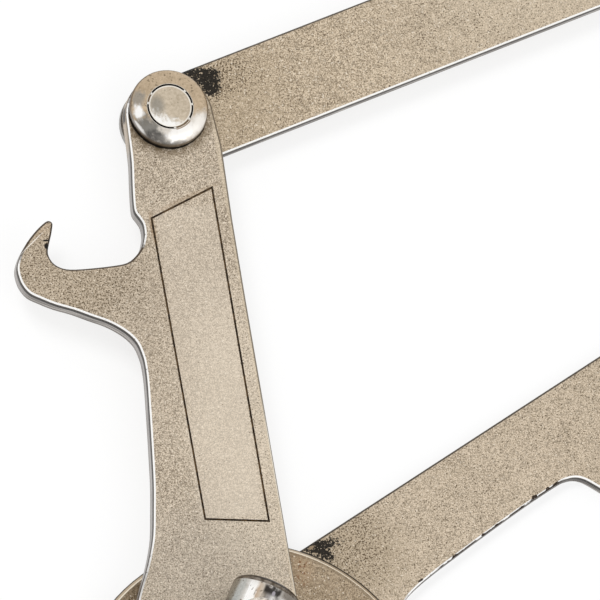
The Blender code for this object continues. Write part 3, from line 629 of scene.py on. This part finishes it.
def washer_finish():
    s = Rubbed("nickel_washer_painted_light", WASHER_TONES, seed=3.0)
    s.speckle(0.62, level=0.63)
    along, across = s.local(STAND_PIVOT)
    ragged = s.total((s.noise(1.3, 3.0, 0.6, seed=15.0), 2.4), start=-1.2)
    brushed = s.noise(2.2, 2.0, 0.6, stretch=(1.0, 0.45, 1.0), seed=19.0)
    # Painted highlight over the washer's lower side, then painted reflections in patches
    highlight = s.step(s.total((across, -1.0), (along, 0.10), (ragged, 0.9)), 0.9, 2.3)
    s.paint(highlight, WASHER_LOWER_HIGHLIGHT, 0.88)
    for centre, sizes, turn, colour, strength in WASHER_REFLECTIONS:
        distance = s.away(from_pivot(STAND_PIVOT, centre), sizes, math.radians(turn))
        reach = s.total((distance, 1.0), (ragged, 0.60), (brushed, 1.1), start=-0.55)
        s.paint(s.step(reach, 1.50, 0.50), colour, strength)

    # Painted shade on the outer rim, browner on its upper side, and on the dark foot
    radius = s.away(STAND_PIVOT)
    upper = s.step(s.total((across, 1.0), (along, 0.35)), -2.2, -0.8)
    s.paint(s.step(radius, 4.86, 4.95), s.mix(upper, WASHER_RIM_SHADE, WASHER_RIM_SHADE_BROWN), 0.85)
    s.paint(s.product(upper, s.step(radius, 4.76, 4.88)), WASHER_RIM_SHADE_BROWN, 0.75)
    s.paint(s.product(s.step(s.z, 7.95, 7.75), s.step(s.flat, 0.5, 0.3)), WASHER_FOOT_SHADE)

    # Brown smear beside the ring's open gap
    toward = s.total((along, math.cos(SMEAR_WAY)), (across, math.sin(SMEAR_WAY)))
    smear = s.product(s.step(s.math("DIVIDE", toward, radius), 0.925, 0.945),
                      s.step(radius, 3.18, 3.12), s.front)
    s.paint(smear, WASHER_SMEAR, 0.9)
    return s.finish(rough=0.24, bump=0.06)


def peen_finish():
    s = Rubbed("rubbed_nickel_peen", PEEN_TONES, seed=23.0)
    s.speckle(0.35)
    along, across = s.local(STAND_PIVOT)
    # A painted dark reflection at the left, a painted highlight on the lower left, and a painted
    # highlight at the edge by the ring
    dark_reflection = s.oval(from_pivot(STAND_PIVOT, (-1.7, 0.2)), (0.9, 1.2), soft=0.6)
    s.paint(s.product(dark_reflection, s.front), PEEN_DARK_REFLECTION, 0.75)
    lean = s.total((along, -0.42), (across, -0.90), (s.noise(1.8, 3.0, 0.65, seed=27.0), 2.6),
                   start=-1.3)
    s.paint(s.product(s.step(lean, 1.0, 2.3), s.front), PEEN_HIGHLIGHT, 0.92)
    lip = s.product(s.step(s.away(STAND_PIVOT), 2.50, 2.62), s.front)
    s.paint(lip, PEEN_EDGE_HIGHLIGHT, 0.75)
    return s.finish(rough=0.28, bump=0.05)


def lip_finish(name, colour):
    """Make the metal that was spread over the ring's gap."""
    s = Rubbed(name, (colour, scaled(colour, 0.7)), seed=33.0)
    return s.finish(rough=0.25, bump=0.04)


def barrel_finish():
    s = Rubbed("rubbed_nickel_barrel", BARREL_TONES, seed=43.0)
    along = s.local(WORM_PIVOT, WORM_TURN)[0]
    side = s.facing(WORM_TURN - math.pi / 2.0)
    end = s.facing(WORM_TURN)
    waver = s.noise(0.9, 3.0, 0.6, stretch=(0.5, 0.5, 1.0), seed=47.0)
    # Painted reflection streaks along the barrel's side
    streaks = s.ramp(s.total((side, 0.5), (waver, 0.10), start=0.45), BARREL_REFLECTIONS)
    s.paint(s.step(s.less(end), 0.85, 0.95), streaks, 0.92)
    s.speckle(0.6, level=0.64)

    # A dark blot with a painted violet highlight in it, the spot face, and painted shade on the
    # right shoulder
    gloom = s.product(s.band(side, -0.20, 0.30, 0.04), s.step(along, 3.2, 3.9),
                      s.step(waver, 0.62, 0.50))
    s.paint(gloom, BARREL_BLOT, 0.95)
    violet = s.oval((1.86, 12.42), (0.32, 0.20), WORM_TURN, soft=0.3)
    s.paint(s.product(violet, s.step(s.z, 14.0, 15.0)), BARREL_VIOLET_HIGHLIGHT, 0.9)
    spot = s.step(s.away(WORM_PIVOT), SPOT_FACE_RADIUS + 0.10, SPOT_FACE_RADIUS - 0.05)
    s.paint(s.product(spot, s.step(s.nz, 0.97, 0.99)), SPOT_FACE, 0.85)
    shaded_shoulder = s.product(s.step(side, 0.26, 0.42), s.step(along, 3.70, 4.10))
    s.paint(shaded_shoulder, SHOULDER_SHADE, 0.75)

    # The rounded end: a mottled painted dark reflection, darkest on the top
    mottle = s.step(s.noise(1.4, 3.0, 0.6, seed=51.0), 0.4, 0.6)
    s.paint(s.step(end, 0.10, 0.18), s.mix(mottle, END_REFLECTION_DARK, END_REFLECTION_LIGHT))
    s.paint(s.step(end, 0.42, 0.60), END_REFLECTION_BLACK, 0.92)
    return s.finish(rough=0.16, bump=0.10)


def steel_finish():
    s = Rubbed("plain_steel", STEEL_TONES, seed=63.0)
    s.speckle(0.5)
    # Painted shade on the undersides
    s.paint(s.step(s.nz, 0.45, -0.55), STEEL_UNDERSIDE_SHADE, 0.80)
    return s.finish(rough=0.22, bump=0.05)


def dress(node, material):
    """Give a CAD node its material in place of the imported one."""
    piece = frame["nodes"][node]
    piece.data.materials.clear()
    piece.data.materials.append(material)
    for face in piece.data.polygons:
        face.material_index = 0


def put(mesh, name, body):
    """Show a new piece that rides on a body."""
    piece = bpy.data.objects.new(name, mesh)
    bpy.context.scene.collection.objects.link(piece)
    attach(piece, body)
    return piece


def smooth_twin(node, material, sharp=30.0):
    """Stand a welded and smoothly shaded form of a round node in its place."""
    source = frame["nodes"][node].data
    places = {}
    numbers = []
    for vertex in source.vertices:
        key = tuple(round(value / MM, 3) for value in vertex.co)
        numbers.append(places.setdefault(key, len(places)))
    faces = []
    for polygon in source.polygons:
        face = [numbers[index] for index in polygon.vertices]
        if len(set(face)) == len(face):
            faces.append(face)
    mesh = bpy.data.meshes.new(node + "_smooth")
    mesh.from_pydata([tuple(value * MM for value in key) for key in places], [], faces)
    mesh.materials.append(material)
    mesh.shade_smooth()
    mesh.set_sharp_from_angle(angle=math.radians(sharp))
    body = frame["nodes"][node]["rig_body"]
    piece = put(mesh, node + "_smooth", body)
    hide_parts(node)


def arc_bars(name, bars):
    """Make bars of metal along the ring round the peened rivet.

    Each bar has its first and last angle, inner and outer radius, top and material number.
    """
    points = []
    faces = []
    kinds = []
    bottom = WASHER_TOP - 0.5
    for start, end, inner, outer, top, kind in bars:
        steps = max(2, round((end - start) / ARC_STEP))
        whole = end - start >= 360.0
        first = len(points)
        count = steps if whole else steps + 1
        for step in range(count):
            angle = math.radians(start + (end - start) * step / steps)
            for radius, height in ((inner, bottom), (outer, bottom), (outer, top), (inner, top)):
                points.append((MM * (STAND_PIVOT[0] + radius * math.cos(angle)),
                               MM * (STAND_PIVOT[1] + radius * math.sin(angle)), MM * height))
        for step in range(steps):
            a = first + 4 * step
            b = first + 4 * ((step + 1) % count)
            for side in range(4):
                other = (side + 1) % 4
                faces.append((a + side, b + side, b + other, a + other))
        if not whole:
            last = first + 4 * steps
            faces.append((first, first + 1, first + 2, first + 3))
            faces.append((last + 3, last + 2, last + 1, last))
        kinds += [kind] * (len(faces) - len(kinds))
    mesh = bpy.data.meshes.new(name)
    mesh.from_pydata(points, [], faces)
    for polygon, kind in zip(mesh.polygons, kinds):
        polygon.material_index = kind
    return mesh


def peened_ring():
    """Close the gap round the peened rivet where its metal was spread, as the lips and bridges,
    which carry a painted highlight.
    """
    highlight, brown = 0, 1
    top = WASHER_TOP - 0.02
    inner, outer = PEEN_RADIUS - 0.02, BORE_RADIUS + 0.02
    bars = [(0.0, 360.0, inner, PEEN_RADIUS + 0.02, top, highlight),
            (0.0, 360.0, BORE_RADIUS - 0.05, outer, top, highlight)]
    for angle in BRIDGE_ANGLES:
        bars.append((angle - BRIDGE_HALF, angle + BRIDGE_HALF, inner, outer, top, highlight))
    for start, end, gap in BROWN_GAPS:
        bars.append((start, end, inner, BORE_RADIUS - gap, top - 0.06, brown))
    mesh = arc_bars("peened_ring", bars)
    # The lips and bridges get a painted highlight, the filled stretches brown metal
    mesh.materials.append(lip_finish("nickel_lip_painted_highlight", HIGHLIGHT_LIP))
    mesh.materials.append(lip_finish("tarnished_nickel_lip", BROWN_LIP))
    put(mesh, "peened_ring", "lever")


def seen_white(tree, share):
    """Give a share where the camera or a mirroring or clear surface looks, and 0 for other rays."""
    rays = tree.nodes.new("ShaderNodeLightPath")
    total = rays.outputs["Is Camera Ray"]
    for kind in ("Is Glossy Ray", "Is Transmission Ray"):
        add = tree.nodes.new("ShaderNodeMath")
        add.operation = "MAXIMUM"
        tree.links.new(total, add.inputs[0])
        tree.links.new(rays.outputs[kind], add.inputs[1])
        total = add.outputs[0]
    shared = tree.nodes.new("ShaderNodeMath")
    shared.operation = "MULTIPLY"
    shared.inputs[1].default_value = share
    tree.links.new(total, shared.inputs[0])
    return shared.outputs[0]


def lay_floor():
    """Lay a pale floor that shows white and keeps the object's shadow."""
    mesh = bpy.data.meshes.new("floor")
    half = FLOOR_SIZE / 2.0
    corners = ((-half, -half), (half, -half), (half, half), (-half, half))
    mesh.from_pydata([(x, y, FLOOR_LEVEL) for x, y in corners], [], [(0, 1, 2, 3)])
    floor = bpy.data.objects.new("floor", mesh)
    bpy.context.scene.collection.objects.link(floor)
    material = bpy.data.materials.new("floor_white")
    material.use_nodes = True
    tree = material.node_tree
    for old in list(tree.nodes):
        tree.nodes.remove(old)
    diffuse = tree.nodes.new("ShaderNodeBsdfDiffuse")
    diffuse.inputs["Color"].default_value = as_colour(FLOOR_COLOUR)
    glow = tree.nodes.new("ShaderNodeEmission")
    glow.inputs["Color"].default_value = (1.0, 1.0, 1.0, 1.0)
    blend = tree.nodes.new("ShaderNodeMixShader")
    tree.links.new(seen_white(tree, FLOOR_GLOW), blend.inputs["Fac"])
    tree.links.new(diffuse.outputs["BSDF"], blend.inputs[1])
    tree.links.new(glow.outputs["Emission"], blend.inputs[2])
    output = tree.nodes.new("ShaderNodeOutputMaterial")
    tree.links.new(blend.outputs["Shader"], output.inputs["Surface"])
    mesh.materials.append(material)


def light_world():
    """Light the object from all round at a plain level, and show white behind it."""
    world = bpy.data.worlds.new("studio")
    bpy.context.scene.world = world
    world.use_nodes = True
    tree = world.node_tree
    background = tree.nodes["Background"]
    choose = tree.nodes.new("ShaderNodeMix")
    choose.data_type = "RGBA"
    sockets = {s.identifier: s for s in choose.inputs}
    tree.links.new(seen_white(tree, 1.0), sockets["Factor_Float"])
    sockets["A_Color"].default_value = (WORLD_LEVEL, WORLD_LEVEL, WORLD_LEVEL, 1.0)
    sockets["B_Color"].default_value = (1.0, 1.0, 1.0, 1.0)
    chosen = [s for s in choose.outputs if s.identifier == "Result_Color"][0]
    tree.links.new(chosen, background.inputs["Color"])
    background.inputs["Strength"].default_value = 1.0


def lamp(name, place, size, energy):
    """Add a soft square lamp that looks at the tool's middle."""
    data = bpy.data.lights.new(name, "AREA")
    data.size = size
    data.energy = energy
    made = bpy.data.objects.new(name, data)
    made.location = place
    made.rotation_mode = "QUATERNION"
    made.rotation_quaternion = (Vector(AIM) - Vector(place)).to_track_quat("-Z", "Y")
    bpy.context.scene.collection.objects.link(made)
    return made


def set_camera():
    """Look from the photograph's direction, from far enough away to flatten the view."""
    back = RIGHT.cross(UP).normalized()
    data = bpy.data.cameras.new("camera")
    data.sensor_width = SENSOR_WIDTH
    data.lens = SENSOR_WIDTH * VIEW_DISTANCE / VIEW_WIDTH
    data.clip_end = VIEW_REACH
    camera = bpy.data.objects.new("camera", data)
    turn = Matrix((RIGHT.normalized(), UP.normalized(), back)).transposed()
    camera.rotation_mode = "QUATERNION"
    camera.rotation_quaternion = turn.to_quaternion()
    camera.location = VIEW_CENTRE + back * VIEW_DISTANCE
    bpy.context.scene.collection.objects.link(camera)
    bpy.context.scene.camera = camera
    bpy.context.scene.view_settings.view_transform = "Standard"


dress("hook_lever", lever_finish())
dress("neck_stand", stand_finish())
dress("grip_bar", grip_finish())
dress("stand_rivet", peen_finish())
smooth_twin("hub_disc", disc_finish())
smooth_twin("stand_front_washer", washer_finish())
smooth_twin("worm_barrel", barrel_finish())
steel = steel_finish()
smooth_twin("worm", steel, 60.0)
for name in ("hub_rivet", "stand_rear_washer", "grip_stop_stud", "worm_pin", "shank_peg"):
    dress(name, steel)
peened_ring()

lay_floor()
light_world()
key = lamp("key", KEY_PLACE, KEY_SIZE, KEY_ENERGY)
key.visible_glossy = False  # so that it leaves no streak on the washer
lamp("front_box", FRONT_PLACE, FRONT_SIZE, FRONT_ENERGY)
set_camera()
